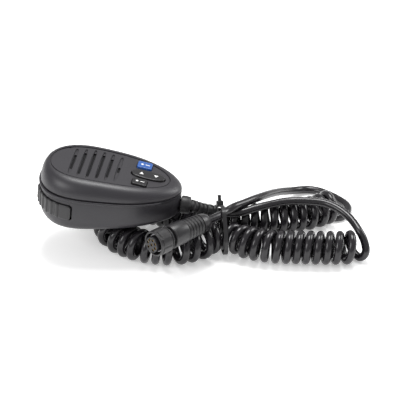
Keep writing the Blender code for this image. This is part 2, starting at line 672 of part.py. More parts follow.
def make_cord():
    make_coil("coil_front", COIL_FRONT)
    make_coil("coil_bend", COIL_BEND)
    make_coil("coil_back", COIL_BACK)
    tube("cord_plug_tail", smooth_route(PLUG_TAIL, 6), CORD_RADIUS, CORD_RUBBER, loops)
    tube("cord_mic_tail", smooth_route(MIC_TAIL, 6), CORD_RADIUS, CORD_RUBBER, loops)


def tie_outline(grow):
    """The hull round what the tie holds, each a circle of Y, height and radius, grown by this much."""
    spots = [
        (y + (radius + grow) * cos(turn), z + (radius + grow) * sin(turn))
        for y, z, radius in TIE_HOLDS
        for turn in (2 * pi * i / 24 for i in range(24))
    ]
    return [spots[i] for i in convex_hull_2d(spots)]


def make_cable_tie():
    data = bpy.data.curves.new("cable_tie", "CURVE")
    data.dimensions = "2D"
    data.fill_mode = "BOTH"
    data.extrude = mm(TIE_WIDTH / 2)
    for outline in (tie_outline(TIE_THICK), tie_outline(0)):
        spline = data.splines.new("POLY")
        spline.points.add(len(outline) - 1)
        spline.use_cyclic_u = True
        for point, (y, z) in zip(spline.points, outline):
            point.co = (*mm(y, z, 0), 1.0)
    tie_frame = empty("tie_frame", where=TIE_SPOT, turn=(0, 0, TIE_YAW), parent=loops)
    strap = add("strap_outline", data, None, tie_frame, (0, 0, 0), (90, 0, 90))
    bpy.context.view_layer.update()
    shaped = strap.evaluated_get(bpy.context.evaluated_depsgraph_get())
    solid = bpy.data.meshes.new_from_object(shaped)
    shape = bmesh.new()
    shape.from_mesh(solid)
    bmesh.ops.remove_doubles(shape, verts=shape.verts, dist=0.000001)
    bmesh.ops.recalc_face_normals(shape, faces=shape.faces)
    shape.to_mesh(solid)
    shape.free()
    bpy.data.objects.remove(strap)
    tie = add("cable_tie", solid, NYLON, tie_frame, (0, 0, 0), (90, 0, 90))
    spot, lean = (0, *TIE_HEAD[:2]), (TIE_HEAD[2], 0, 0)
    head = add("tie_head", block((4.6, 5.2, 4.2), 0.1, 0.5), None, tie_frame, spot, lean, CUTTERS)
    tail = add("tie_tail", block((2.4, 1.1, 5.0), 3.4), None, tie_frame, spot, lean, CUTTERS)
    boolean(tie, "UNION", head)
    boolean(tie, "UNION", tail)


# The plug, turned about its own axis: 0 is where the cord enters, and the heights grow to its front


def make_plug():
    cap = [(6.0, 23.6)]
    for rib in range(5):
        top = 23.6 - 2.9 * rib
        cap += [(7.8, top), (7.8, top - 2.0), (7.3, top - 2.2), (7.3, top - 2.7)]
    cap += [(7.5, 8.2), (6.8, 5.2), (5.4, 2.6), (3.4, 0.3), (3.1, 0.3), (3.1, 6), (6.0, 9)]
    turned("plug_gland_cap", cap, PLUG_PLASTIC, plug, sides=20, bored=True)
    grip = ((6.0, 37.6), (8.2, 37.6), (8.6, 37.0), (8.3, 24.6), (7.9, 24.0), (6.0, 24.0))
    turned("plug_grip", grip, PLUG_PLASTIC, plug, sides=24, bored=True)
    shell = ((6.0, 50), (6.6, 50), (6.6, 45.5), (7.5, 45.5), (7.5, 44.3), (6.6, 44.3), (6.6, 37.9),
             (6.0, 37.9))
    turned("plug_shell", shell, PLUG_METAL, plug, sides=20, bored=True)
    seal = ((3.0, 22), (5.6, 22), (5.6, 12.0), (3.0, 9.6))
    turned("plug_seal", seal, RUBBER, plug, sides=12, bored=True)
    profile = ((0, 54.5), (5.4, 54.5), (5.7, 54.2), (5.7, 36), (0, 36))
    insert = turned("plug_insert", profile, NYLON, plug, sides=20)
    spots = [(0.0, 0.0)]
    for i in range(7):
        turn = 2 * pi * (i + 0.5) / 7.6
        spots.append((CONTACT_CIRCLE * cos(turn), CONTACT_CIRCLE * sin(turn)))
    for number, (x, y) in enumerate(spots, 1):
        hole = cylinder(CONTACT_HOLE, 40, 60, 10)
        add("contact_hole", hole, None, plug, (x, y, 0), into=INSERT_HOLES)
        contact = ((0, 51.5), (0.35, 51.5), (0.35, 53.9), (0.75, 53.9), (0.75, 40.3), (0, 40.3))
        turned(f"plug_contact_{number}", contact, GOLD, plug, (x, y, 0), sides=8)
    boolean(insert, "DIFFERENCE", INSERT_HOLES)


def make_nut():
    """The free ring that holds the plug in its socket, and the washer that it turns against."""
    turned("nut_thrust_ring", ((6.9, 41.1), (8.6, 41.1), (8.6, 40.3), (6.9, 40.3)), STEEL, plug, sides=24,
           bored=True)
    profile = ((7.9, 52.3), (8.9, 52.3), (9.2, 51.9), (9.2, 50.9), (8.8, 50.7), (8.8, 41.9), (8.4, 41.4),
               (6.9, 41.4), (6.9, 43.4), (7.9, 43.4))
    nut = turned("coupling_nut", profile, PLUG_PLASTIC, plug, sides=24, bored=True)
    for i in range(8):
        pad = block((1.3, 5.4, 8.2), 42.3)
        turn = 45 * i + 22.5
        spot = (8.8 * cos(radians(turn)), 8.8 * sin(radians(turn)), 0)
        add("nut_pad", pad, None, plug, spot, (0, 0, turn), into=NUT_PADS)
    boolean(nut, "UNION", NUT_PADS)


make_front_shell()
make_rear_shell()
make_shell_gasket()
make_ptt_bar()
make_ptt_inside()
make_key("key_far", 1, BLUE)
make_key("key_near", -1, BAR_PLASTIC)
make_rocker()
make_keypad_sheet()
make_main_board()
make_speaker()
make_microphone()
make_screws()
make_cord_clamp()
make_hanger()
make_strain_relief()
make_cord()
make_cable_tie()
make_plug()
make_nut()
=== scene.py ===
"""Looks of the hand microphone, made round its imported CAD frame: metres, +Z up, the body's middle at 0."""

import bmesh
import bpy
import numpy as np
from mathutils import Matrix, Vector


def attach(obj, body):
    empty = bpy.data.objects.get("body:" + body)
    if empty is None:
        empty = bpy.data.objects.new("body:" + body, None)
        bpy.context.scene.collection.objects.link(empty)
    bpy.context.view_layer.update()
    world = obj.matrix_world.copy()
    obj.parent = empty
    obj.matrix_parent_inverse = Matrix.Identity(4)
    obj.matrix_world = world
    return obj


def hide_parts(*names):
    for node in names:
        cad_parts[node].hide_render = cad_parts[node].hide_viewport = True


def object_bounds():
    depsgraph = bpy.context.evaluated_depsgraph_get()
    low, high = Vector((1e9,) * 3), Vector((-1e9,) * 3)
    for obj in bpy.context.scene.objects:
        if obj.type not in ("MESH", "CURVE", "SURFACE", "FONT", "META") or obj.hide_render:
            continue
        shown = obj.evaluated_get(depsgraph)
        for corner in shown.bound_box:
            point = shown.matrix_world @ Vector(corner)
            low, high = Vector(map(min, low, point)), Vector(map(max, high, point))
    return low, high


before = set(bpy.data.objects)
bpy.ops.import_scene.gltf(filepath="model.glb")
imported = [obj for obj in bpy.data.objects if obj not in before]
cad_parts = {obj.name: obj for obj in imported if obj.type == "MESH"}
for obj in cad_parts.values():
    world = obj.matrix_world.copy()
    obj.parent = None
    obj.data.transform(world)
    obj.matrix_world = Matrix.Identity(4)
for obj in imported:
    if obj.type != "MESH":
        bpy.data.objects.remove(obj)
cad_low, cad_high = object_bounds()
MM = 0.001

# ---------------------------------------------------------------------------------------------------
# Studio: a white sweep lit by large soft boxes, and the camera above and to the right of the near side.

FLOOR = cad_low[2]
BODY_ABOVE_FLOOR = 40.19 * MM   # the middle of the body's box over the floor
BODY_ALONG = -1.84 * MM         # that middle along X from the joint plane's own middle
LOOPS_TURN = np.radians(8.7)    # the cord's loops lie turned this much from the body
SWEEP_REACH = 6.0               # of the floor each way


def from_loops(points):
    """Points in millimetres in the frame of the cord's loops: turned, and moved to the body's middle."""
    points = np.asarray(points, float) * MM
    c, s = np.cos(LOOPS_TURN), np.sin(LOOPS_TURN)
    turned = points @ np.array([[c, s, 0], [-s, c, 0], [0, 0, 1]])
    return turned - np.array([BODY_ALONG, 0, BODY_ABOVE_FLOOR])


def linear(code):
    """An sRGB hex colour as linear RGBA."""
    steps = np.array([int(code[i : i + 2], 16) / 255 for i in (1, 3, 5)])
    low = steps <= 0.04045
    return (*np.where(low, steps / 12.92, ((steps + 0.055) / 1.055) ** 2.4).tolist(), 1.0)


def node(material, kind, settings=(), **links):
    """Adds a shader node. settings are (socket or property, value); links name an input and its source."""
    tree = material.node_tree
    made = tree.nodes.new(kind)
    for name, value in settings:
        if name in made.inputs:
            made.inputs[name].default_value = value
        else:
            setattr(made, name, value)
    for name, source in links.items():
        tree.links.new(source, made.inputs[name.replace("_", " ")])
    return made


def new_material(name):
    """An empty material with a Principled BSDF: the material and its shader."""
    material = bpy.data.materials.new(name)
    material.use_nodes = True
    return material, material.node_tree.nodes["Principled BSDF"]


paper_white, white_shader = new_material("matt white paper sweep")
white_shader.inputs["Base Color"].default_value = linear("#fbfbfb")
white_shader.inputs["Roughness"].default_value = 0.9
white_shader.inputs["Specular IOR Level"].default_value = 0.1
white_shader.inputs["Emission Color"].default_value = (1, 1, 1, 1)
white_shader.inputs["Emission Strength"].default_value = 0.35
sweep = bpy.data.meshes.new("sweep")
corners = [(x * SWEEP_REACH, y * SWEEP_REACH, FLOOR) for x, y in ((-1, -1), (1, -1), (1, 1), (-1, 1))]
sweep.from_pydata(corners, [], [(0, 1, 2, 3)])
sweep.materials.append(paper_white)
floor = bpy.data.objects.new("floor", sweep)
bpy.context.scene.collection.objects.link(floor)

world = bpy.data.worlds.new("studio")
bpy.context.scene.world = world
world.use_nodes = True
world.node_tree.nodes["Background"].inputs["Color"].default_value = (1, 1, 1, 1)
world.node_tree.nodes["Background"].inputs["Strength"].default_value = 0.5

SOFT_BOXES = (       # name, place, size, power
    ("overhead", (0.05, 0.25, 0.95), 0.45, 8.0),
    ("left_front", (-0.8, -0.7, 0.7), 0.6, 6.0),
    ("right_back", (0.9, 0.6, 0.6), 0.5, 5.0),
)
aim = Vector(from_loops((61.7, 26.8, 20)))
for name, place, size, power in SOFT_BOXES:
    lamp = bpy.data.lights.new(name, "AREA")
    lamp.size = size
    lamp.energy = power
    box = bpy.data.objects.new(name, lamp)
    box.location = place
    box.rotation_euler = (aim - Vector(place)).to_track_quat("-Z", "Y").to_euler()
    bpy.context.scene.collection.objects.link(box)

CAMERA_DISTANCE = 2.6
CAMERA_ELEVATION = np.radians(30)
HALF_VIEW = 0.1439              # half the width of the picture, at the object
lens = bpy.data.cameras.new("camera")
lens.angle = 2 * np.arctan(HALF_VIEW / CAMERA_DISTANCE)
camera = bpy.data.objects.new("camera", lens)
back = Vector((
    np.sin(LOOPS_TURN) * np.cos(CAMERA_ELEVATION),
    -np.cos(LOOPS_TURN) * np.cos(CAMERA_ELEVATION),
    np.sin(CAMERA_ELEVATION),
))
camera.location = aim + back * CAMERA_DISTANCE
camera.rotation_euler = back.to_track_quat("Z", "Y").to_euler()
bpy.context.scene.collection.objects.link(camera)
bpy.context.scene.camera = camera
bpy.context.scene.view_settings.view_transform = "Standard"

# ---------------------------------------------------------------------------------------------------
# Curly cord: a 5.8 mm rubber-jacketed lead wound left-handed into a 24 mm coil, which lies doubled and
# tied. One smooth tail goes to the microphone's boot and one to the plug's gland.

CORD_DIAMETER = 5.8
COIL_ROUTE = np.array([  # X, Y, outer radius, from the microphone's end of the coil to the plug's
    (173, -24.5, 12.2), (167.3, -26.6, 12.2), (159.8, -27.3, 12.2), (145.1, -27.3, 12.2),
    (131.4, -26.6, 12.2), (117.4, -26, 12.2), (109.6, -24.6, 12.2), (102.4, -22.6, 12.2),
    (95, -19.3, 12.2), (88.4, -15.3, 11.2), (83, -11.7, 10.2), (77.5, -11, 10.2), (70.3, -13.2, 11.2),
    (63.5, -19.1, 12.2), (58.1, -23, 12.2), (51.2, -25.9, 12.2), (45, -27.9, 12.2), (37.1, -28.1, 12.2),
    (29, -26.9, 12.2), (20.8, -24.5, 12.2), (13.2, -20, 12.2), (6.3, -14.5, 12.2), (1, -8, 12.2),
    (-2, 0, 12.2), (-3.2, 9, 12.2), (-1.5, 18, 12.2), (4, 26, 12.2), (13, 30.5, 12.2), (24, 30, 12.2),
    (38, 23.5, 12.2), (52, 15, 12.2), (60.5, 11.1, 12), (70, 10, 10.9), (77.5, 10.4, 10.2),
    (82, 10.4, 10.5), (88, 10.6, 11.6), (95, 11.5, 12.2), (104, 12.7, 12.2), (114, 14.2, 12.2),
    (125, 16.8, 12.2), (138.6, 21, 12.2), (145.8, 24.7, 12.2), (153.7, 30.2, 12.2), (157, 33, 12.2),
])
MIC_TAIL = np.array([
    (74.4, 0.7, 25.5), (80.5, 0.6, 24.6), (86.5, 0.3, 24.4), (93.4, 1.2, 25.2), (100.3, 3.8, 26.3),
    (105.1, 5.4, 26.8), (114, 9.2, 27), (120.9, 11.6, 27.2), (127.8, 12.7, 27.3), (138.1, 11.7, 27.8),
    (148.5, 9.5, 28), (155.3, 6.2, 27.5), (162.2, 1.3, 26), (169.1, -6.8, 23.5), (174.6, -17.2, 20),
    (178, -22.4, 15), (179.2, -26.8, 9.5), (177.4, -26.6, 5), (174.2, -24.6, 3.1),
])
PLUG_TAIL = np.array([
    (157.5, 32.2, 2.9), (160.4, 31, 2.9), (164, 32, 3), (166.2, 34.5, 3), (168.5, 40, 3), (169, 45.5, 3),
    (167, 51, 2.9), (162.2, 57.5, 2.9), (155.3, 64.5, 2.9), (148.5, 69.5, 2.9), (142, 71.5, 2.9),
    (135, 70, 3.6), (128, 63.5, 6.6), (121, 53.5, 11.8), (114, 40.5, 17.8), (107.2, 27, 23.3),
    (100.3, 15.5, 27.2), (93.4, 7, 29), (86.5, -1.2, 30.8), (80.5, -7, 30.3), (77, -12, 30.5),
    (73, -16.5, 31), (67.2, -21.9, 31.5),
])
COIL_MIDDLE = 12.2        # height of the coil's axis over the floor
TURN_GAP = 6.95           # along the coil, where it lies straight
CLOSEST = 6.15            # between turns on the inside of a bend, where they touch
POINTS_A_TURN = 24
AXIS_STEP = 0.4           # between the points of the coil's axis
BEND_SPREAD = 25          # of those points share each bend, so that the gap changes slowly
TAIL_STEP = 1.2           # between the points of each tail


def smooth_curve(points, spacing):
    """A Catmull-Rom curve through the points, sampled about this far apart."""
    ends = 2 * points[0] - points[1], 2 * points[-1] - points[-2]
    p = np.vstack([ends[0], points, ends[1]])
    steps = np.maximum(2, np.round(np.linalg.norm(np.diff(points, axis=0), axis=1) / spacing))
    pieces = []
    for i, count in enumerate(steps.astype(int)):
        t = np.linspace(0, 1, count, endpoint=False)[:, None]
        a, b, c, d = p[i : i + 4]
        pieces.append(0.5 * (2 * b + (c - a) * t + (2 * a - 5 * b + 4 * c - d) * t**2
                             + (3 * b - a - 3 * c + d) * t**3))
    return np.vstack([*pieces, points[-1:]])


def even_curve(points, spacing):
    """The smooth curve with its points spread evenly along it."""
    fine = smooth_curve(points, 0.5)
    run = np.r_[0, np.cumsum(np.linalg.norm(np.diff(fine, axis=0), axis=1))]
    marks = np.linspace(0, run[-1], max(2, round(run[-1] / spacing) + 1))
    return np.stack([np.interp(marks, run, column) for column in fine.T], axis=1)


def coil_path(route):
    """The cord's centreline in its coil: it goes round the route at the outer radius less half the cord,
    left-handed, so its angle grows by one turn for each turn gap. In a bend the gap grows until the
    turns just clear each other on the inside."""
    axis = even_curve(route, AXIS_STEP)
    step = np.r_[0, np.linalg.norm(np.diff(axis[:, :2], axis=0), axis=1)]
    along = np.gradient(axis[:, :2], axis=0)
    along /= np.linalg.norm(along, axis=1)[:, None]
    heading = np.unwrap(np.arctan2(along[:, 1], along[:, 0]))
    bend = np.abs(np.gradient(heading) / AXIS_STEP)
    spread = np.ones(BEND_SPREAD) / BEND_SPREAD
    bend = np.convolve(np.pad(bend, BEND_SPREAD // 2, mode="edge"), spread, mode="valid")
    radius = axis[:, 2] - CORD_DIAMETER / 2
    gap = np.maximum(TURN_GAP, CLOSEST / np.clip(1 - radius * bend, 0.3, 1))
    turns = np.cumsum(step / gap)
    whole = np.floor(turns[-1])
    angle_at = turns * whole / turns[-1]
    marks = np.linspace(0, whole, int(whole) * POINTS_A_TURN + 1)
    middle = [np.interp(marks, angle_at, column) for column in axis[:, :2].T]
    turn_radius = np.interp(marks, angle_at, radius)
    head = np.interp(marks, angle_at, heading)
    angle = np.pi + 2 * np.pi * marks
    side = np.stack([np.sin(head), -np.cos(head)], axis=1)      # the route's right-hand side
    reach = -(turn_radius * np.sin(angle))[:, None] * side
    height = COIL_MIDDLE + turn_radius * np.cos(angle)
    return np.column_stack([np.stack(middle, axis=1) + reach, height])


coil = coil_path(COIL_ROUTE)
# Each tail's curve runs on to the coil's next points, so that it meets the coil along its turn
mic_end = smooth_curve(np.vstack([MIC_TAIL, coil[3:8:2]]), TAIL_STEP)
plug_end = smooth_curve(np.vstack([coil[-8:-3:2], PLUG_TAIL]), TAIL_STEP)
cord_route = from_loops(np.vstack([mic_end, coil[8:-8], plug_end]))

cord_line = bpy.data.curves.new("curly_cord", "CURVE")
cord_line.dimensions = "3D"
cord_line.bevel_depth = CORD_DIAMETER / 2 * MM
cord_line.bevel_resolution = 4
cord_line.use_fill_caps = True
spline = cord_line.splines.new("POLY")
spline.points.add(len(cord_route) - 1)
spline.points.foreach_set("co", np.column_stack([cord_route, np.ones(len(cord_route))]).ravel())
spline.use_smooth = True
curly_cord = bpy.data.objects.new("curly_cord", cord_line)
bpy.context.scene.collection.objects.link(curly_cord)

# Polyurethane jacket: extruded, so it is smooth and shines in long streaks, with faint drag lines
jacket, shader = new_material("extruded black polyurethane jacket")
place = node(jacket, "ShaderNodeTexCoord")
haze = node(jacket, "ShaderNodeTexNoise", [("Scale", 220), ("Detail", 3.0)], Vector=place.outputs["Object"])
tone = node(jacket, "ShaderNodeMixRGB", [("Color1", linear("#171518")), ("Color2", linear("#211f23"))],
            Fac=haze.outputs["Fac"])
gloss = node(jacket, "ShaderNodeMapRange", [("To Min", 0.16), ("To Max", 0.3)], Value=haze.outputs["Fac"])
jacket.node_tree.links.new(tone.outputs["Color"], shader.inputs["Base Color"])
jacket.node_tree.links.new(gloss.outputs["Result"], shader.inputs["Roughness"])
cord_line.materials.append(jacket)

cord_pieces = [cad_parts[name] for name in ("cable_tie", "plug_seal")]
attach(curly_cord, "case")
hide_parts("coil_front", "coil_bend", "coil_back", "cord_mic_tail", "cord_plug_tail")

# ---------------------------------------------------------------------------------------------------
# Front cover: a moulded ABS bowl that rounds up into a lightly sparked panel with six sound slots, a
# microphone port and windows for the keys. It drops onto the rear cover and four screws pull it down.

# Each outline: middle, half length, half width, taper, squareness of the head end and of the cord end
OUTER = (-0.9, 50.4, 31.2, 0.17, 3.2, 2.5)
PANEL = (-2.4, 43.4, 22.0, 0.13, 3.2, 2.6)
BACK = (1.0, 38.0, 20.5, 0.13, 2.8, 2.5)
JOINT_HEIGHT = 51.3
CORD_END_DIP = np.radians(4)
WALL = 2.2
GAP = 0.3
KEYPAD = np.array([22.0, 0, 8.2])
KEYPAD_PITCH = np.radians(6.8)
KEY_SPOT = (-1.5, 11.8)
KEY = (5.25, 4.25, 1.3)                        # half length, half width, corner
ROCKER_MIDDLE = 3.0
ROCKER_HALF = (12.0, 5.3)
KEY_GAP = 0.5
CREASE = np.radians(32)                        # faces that meet at more than this keep a hard edge


def tilt(points, angle, where=(0, 0, 0)):
    """Points turned about Y by the angle, so that +X dips, then moved."""
    points = np.asarray(points, float)
    c, s = np.cos(angle), np.sin(angle)
    return points @ np.array([[c, 0, -s], [0, 1, 0], [s, 0, c]]) + np.asarray(where, float)


def from_body(points):
    """Points in millimetres in the body's own frame, in the model's metres."""
    lifted = tilt(points, CORD_END_DIP, (0, 0, JOINT_HEIGHT))
    return lifted * MM - np.array([BODY_ALONG, 0, BODY_ABOVE_FLOOR])


def from_keypad(points):
    """Points in millimetres in the keypad's frame, which dips a little more than the body."""
    return from_body(tilt(points, KEYPAD_PITCH, KEYPAD))


def egg(outline, turn):
    """The body's outline: x runs with -cos of the turn, and the half width is a superellipse of x whose
    power differs at the two ends, narrowed towards the cord end by the taper."""
    middle, half_length, half_width, taper, head_power, cord_power = outline
    along = -np.cos(turn)
    power = np.where(along < 0, head_power, cord_power)
    half = half_width * np.sqrt(np.maximum(0, 1 - np.abs(along) ** power)) * (1 - taper * along)
    return np.stack([middle + half_length * along, np.where(np.sin(turn) >= 0, half, -half)], axis=-1)


def grown(outline, by):
    """The outline made longer and wider all round."""
    return (outline[0], outline[1] + by, outline[2] + by, *outline[3:])


def between(first, second, share):
    """The outline that lies this share of the way from the first to the second."""
    return tuple(a + (b - a) * share for a, b in zip(first, second))


def face_height(x):
    return 10.4 - 0.08 * x - 0.0009 * x * x


def back_height(x):
    return -26.3 + 0.159 * x


def egg_ring(outline, height, count=256):
    """A ring of points on the outline; height is a number or a function of x."""
    flat = egg(outline, np.linspace(0, 2 * np.pi, count, endpoint=False))
    level = height(flat[:, 0]) if callable(height) else np.full(count, float(height))
    return np.column_stack([flat, level])


def rounded_ring(half_x, half_y, corner, height, middle=(0, 0), count=10):
    """A rectangle with round corners of this radius, count points to a corner."""
    turn = np.linspace(0, np.pi / 2, count)
    quarters = [turn + k * np.pi / 2 for k in range(4)]
    signs = [(1, 1), (-1, 1), (-1, -1), (1, -1)]
    corners = [np.column_stack([
        middle[0] + sx * (half_x - corner) + corner * np.cos(t),
        middle[1] + sy * (half_y - corner) + corner * np.sin(t),
    ]) for (sx, sy), t in zip(signs, quarters)]
    flat = np.vstack(corners)
    return np.column_stack([flat, np.full(len(flat), float(height))])


def oval_ring(half_x, half_y, height, middle=0, count=96):
    """A slightly squared oval."""
    turn = np.linspace(0, 2 * np.pi, count, endpoint=False)
    c, s = np.cos(turn), np.sin(turn)
    x = half_x * np.abs(c) ** 0.85 * np.sign(c)
    y = half_y * np.abs(s) ** 0.85 * np.sign(s)
    return np.column_stack([middle + x, y, np.full(count, float(height))])


def skin(name, rings, ends, *materials):
    """A closed surface through rings of as many points each, as quads. ends is fan (the first and last
    ring each close on their middle), strips (they close across their length) or loop (last to first)."""
    rings = np.asarray(rings)
    rows, count, _ = rings.shape
    points = rings.reshape(-1, 3)
    i = np.arange(count)
    j = (i + 1) % count
    row = np.arange(rows if ends == "loop" else rows - 1)[:, None]
    below, above = row * count, (row + 1) % rows * count
    quads = np.stack([below + i, below + j, above + j, above + i], axis=-1).reshape(-1, 4)
    faces = quads.tolist()
    if ends == "fan":
        points = np.vstack([points, rings[0].mean(axis=0), rings[-1].mean(axis=0)])
        top = (rows - 1) * count
        faces += np.column_stack([j, i, np.full(count, rows * count)]).tolist()
        faces += np.column_stack([top + i, top + j, np.full(count, rows * count + 1)]).tolist()
    if ends == "strips":
        half = np.arange(1, count // 2 - 1)
        strip = np.column_stack([half, half + 1, count - half - 1, count - half])
        for start in (0, (rows - 1) * count):
            faces += (strip + start).tolist()
            faces += [[start, start + 1, start + count - 1]]
            faces += [[start + count // 2 - 1, start + count // 2, start + count // 2 + 1]]
    data = bpy.data.meshes.new(name)
    data.from_pydata(points.tolist(), [], faces)
    shape = bmesh.new()
    shape.from_mesh(data)
    bmesh.ops.recalc_face_normals(shape, faces=shape.faces)
    shape.to_mesh(data)
    shape.free()
    for material in materials:
        data.materials.append(material)
    piece = bpy.data.objects.new(name, data)
    bpy.context.scene.collection.objects.link(piece)
    return smoothed(piece)


def smoothed(piece):
    """Shades the piece smooth, with a hard edge wherever its faces meet at more than the crease."""
    piece.data.shade_smooth()
    piece.data.set_sharp_from_angle(angle=CREASE)
    return piece


def settle(piece, operation, others):
    """Cuts the others out of the piece, or joins them to it, for good."""
    group = bpy.data.collections.new("tools")
    bpy.context.scene.collection.children.link(group)
    for other in others:
        bpy.context.scene.collection.objects.unlink(other)
        group.objects.link(other)
    change = piece.modifiers.new(operation.title(), "BOOLEAN")
    change.operation = operation
    change.operand_type = "COLLECTION"
    change.collection = group
    bpy.context.view_layer.update()
    done = bpy.data.meshes.new_from_object(piece.evaluated_get(bpy.context.evaluated_depsgraph_get()))
    piece.modifiers.clear()
    piece.data = done
    for other in others:
        bpy.data.objects.remove(other)
    bpy.data.collections.remove(group)
    return smoothed(piece)


def moulded(name, dark, light, roughness, grit, depth):
    """Moulded ABS: a spark-eroded grain of this grit in millimetres dents the gloss, and the tone drifts a
    little where the melt flowed. Roughness is a low and a high value."""
    plastic, plastic_shader = new_material(name)
    spot = node(plastic, "ShaderNodeTexCoord")
    flow = node(plastic, "ShaderNodeTexNoise", [("Scale", 45), ("Detail", 2.0)],
                Vector=spot.outputs["Object"])
    grain = node(plastic, "ShaderNodeTexNoise", [("Scale", 1 / (grit * MM)), ("Detail", 3.0)],
                 Vector=spot.outputs["Object"])
    colour = node(plastic, "ShaderNodeMixRGB", [("Color1", linear(dark)), ("Color2", linear(light))],
                  Fac=flow.outputs["Fac"])
    sheen = node(plastic, "ShaderNodeMapRange", [("To Min", roughness[0]), ("To Max", roughness[1])],
                 Value=grain.outputs["Fac"])
    dents = node(plastic, "ShaderNodeBump", [("Strength", 0.35), ("Distance", depth * MM)],
                 Height=grain.outputs["Fac"])
    plastic.node_tree.links.new(colour.outputs["Color"], plastic_shader.inputs["Base Color"])
    plastic.node_tree.links.new(sheen.outputs["Result"], plastic_shader.inputs["Roughness"])
    plastic.node_tree.links.new(dents.outputs["Normal"], plastic_shader.inputs["Normal"])
    plastic_shader.inputs["IOR"].default_value = 1.53
    return plastic


# The panel's grain is drawn at 0.6 mm, coarser than the real 0.15 mm, so that it shows as a soft sparkle
panel_abs = moulded("sparked charcoal ABS", "#232126", "#2a282d", (0.42, 0.6), 0.6, 0.05)
shoulder_abs = moulded("satin charcoal ABS", "#222025", "#29272c", (0.36, 0.46), 0.5, 0.015)

STEP = 0.26                # the panel stands this much below the shoulder's rim
GROOVE = 0.85              # and a groove this deep runs round it
INSIDE_FOOT = -1.0         # the room inside starts this far under the joint, to cut it clean
SLOT_FIRST, SLOT_PITCH, SLOTS = -29.2, 6.55, 6
SLOT_HALF, SLOT_DEPTH, THROUGH_HALF = 1.35, 0.9, 0.9
PORT = (-34.5, 17.8)       # the microphone's hole
PORT_RADIUS = 0.9
WINDOW_TOP = 0.35          # height of the windows' eased edge in the keypad's frame


def bowl(inset):
    """The front's outside, or with inset its inside: the outline shrinks from the joint's to the panel's as
    the cosine of a quarter turn while the height grows as its sine."""
    foot = GAP / 2 if inset == 0 else INSIDE_FOOT
    rings = [egg_ring(grown(OUTER, -inset), foot)]
    for rise in np.radians(np.linspace(5, 86 if inset == 0 else 90, 16)):
        outline = between(grown(PANEL, -inset), grown(OUTER, -inset), np.cos(rise))
        rings.append(egg_ring(outline, lambda x: np.maximum(foot, (face_height(x) - inset) * np.sin(rise))))
    if inset == 0:
        rim = ((0.15, 0.02), (0.0, 0.15), (-0.12, GROOVE), (-0.75, GROOVE),
               (-0.87, STEP + 0.15), (-1.05, STEP))
        for out, drop in rim:
            rings.append(egg_ring(grown(PANEL, out), lambda x: face_height(x) - drop))
    return from_body(rings)


def bar_of(half_x, half_y, corner, low, high, middle=(0, 0), flare=0.3, place=from_body):
    """A cutter with round corners, flared at the top so that the edge it leaves is eased."""
    levels = ((low, 0.0), (high - flare, 0.0), (high, flare), (high + 3, flare + 3))
    rings = [rounded_ring(half_x + out, half_y + out, corner + out, z, middle) for z, out in levels]
    return skin("cutter", place(rings), "fan")


def leaf_of(half_x, half_y, low, high, middle):
    """A cutter for a long slot whose sides draw together at its ends, flared at the top."""
    turn = np.linspace(0, 2 * np.pi, 96, endpoint=False)
    c, s = np.cos(turn), np.sin(turn)
    x, y = np.abs(c) ** 0.6 * np.sign(c), s
    rings = [np.column_stack([middle + x * (half_x + out), y * (half_y + out), np.full(96, z)])
             for z, out in ((low, -0.2), (high - 0.3, 0), (high, 0.25), (high + 3, 2.5))]
    return skin("cutter", from_body(rings), "fan")


front_cover = skin("front_cover", bowl(0), "strips", shoulder_abs, panel_abs)
tools = [skin("front_room", bowl(WALL), "strips")]
for x in SLOT_FIRST + SLOT_PITCH * np.arange(SLOTS):
    surface = face_height(x) - STEP
    half_length = 19.9 - 0.0095 * (x + 14) ** 2
    half_open = 0.9 * np.sqrt(max(5.0, 18.5**2 - (x + 14.5) ** 2))
    tools.append(leaf_of(SLOT_HALF, half_length, surface - SLOT_DEPTH, surface, x))
    tools.append(bar_of(THROUGH_HALF, half_open, 0.75, surface - 5, surface - 0.3, (x, 0), 0.01))
port_rings = [rounded_ring(PORT_RADIUS, PORT_RADIUS, PORT_RADIUS - 0.01, z, PORT) for z in (5, 14)]
tools.append(skin("cutter", from_body(port_rings), "fan"))
for side in (1, -1):
    spot = (KEY_SPOT[0], side * KEY_SPOT[1])
    half_x, half_y, corner = (size + KEY_GAP for size in KEY)
    tools.append(bar_of(half_x, half_y, corner, -4, WINDOW_TOP, spot, 0.12, from_keypad))
oval_levels = ((-5, 0.0), (WINDOW_TOP, 0.0), (WINDOW_TOP + 0.15, 0.12), (4, 3.6))
oval = [oval_ring(ROCKER_HALF[0] + KEY_GAP + 0.2 + out, ROCKER_HALF[1] + KEY_GAP + out, z, ROCKER_MIDDLE)
        for z, out in oval_levels]
tools.append(skin("cutter", from_keypad(oval), "fan"))

# The panel and all inside its rim take the sparked finish, the shoulder the satin one
settle(front_cover, "DIFFERENCE", tools)
centres = np.empty(len(front_cover.data.polygons) * 3)
front_cover.data.polygons.foreach_get("center", centres)
centres = (centres.reshape(-1, 3) + [BODY_ALONG, 0, BODY_ABOVE_FLOOR]) / MM
flat = tilt(centres - [0, 0, JOINT_HEIGHT], -CORD_END_DIP)
along = np.clip((flat[:, 0] - PANEL[0]) / PANEL[1], -1, 1)
half = PANEL[2] * np.sqrt(1 - np.abs(along) ** 2.9) * (1 - PANEL[3] * along)
on_panel = (np.abs(flat[:, 1]) < half - 0.2) & (flat[:, 2] > 4)
front_cover.data.polygons.foreach_set("material_index", on_panel.astype(np.int32))
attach(front_cover, "case")
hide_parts("front_shell")

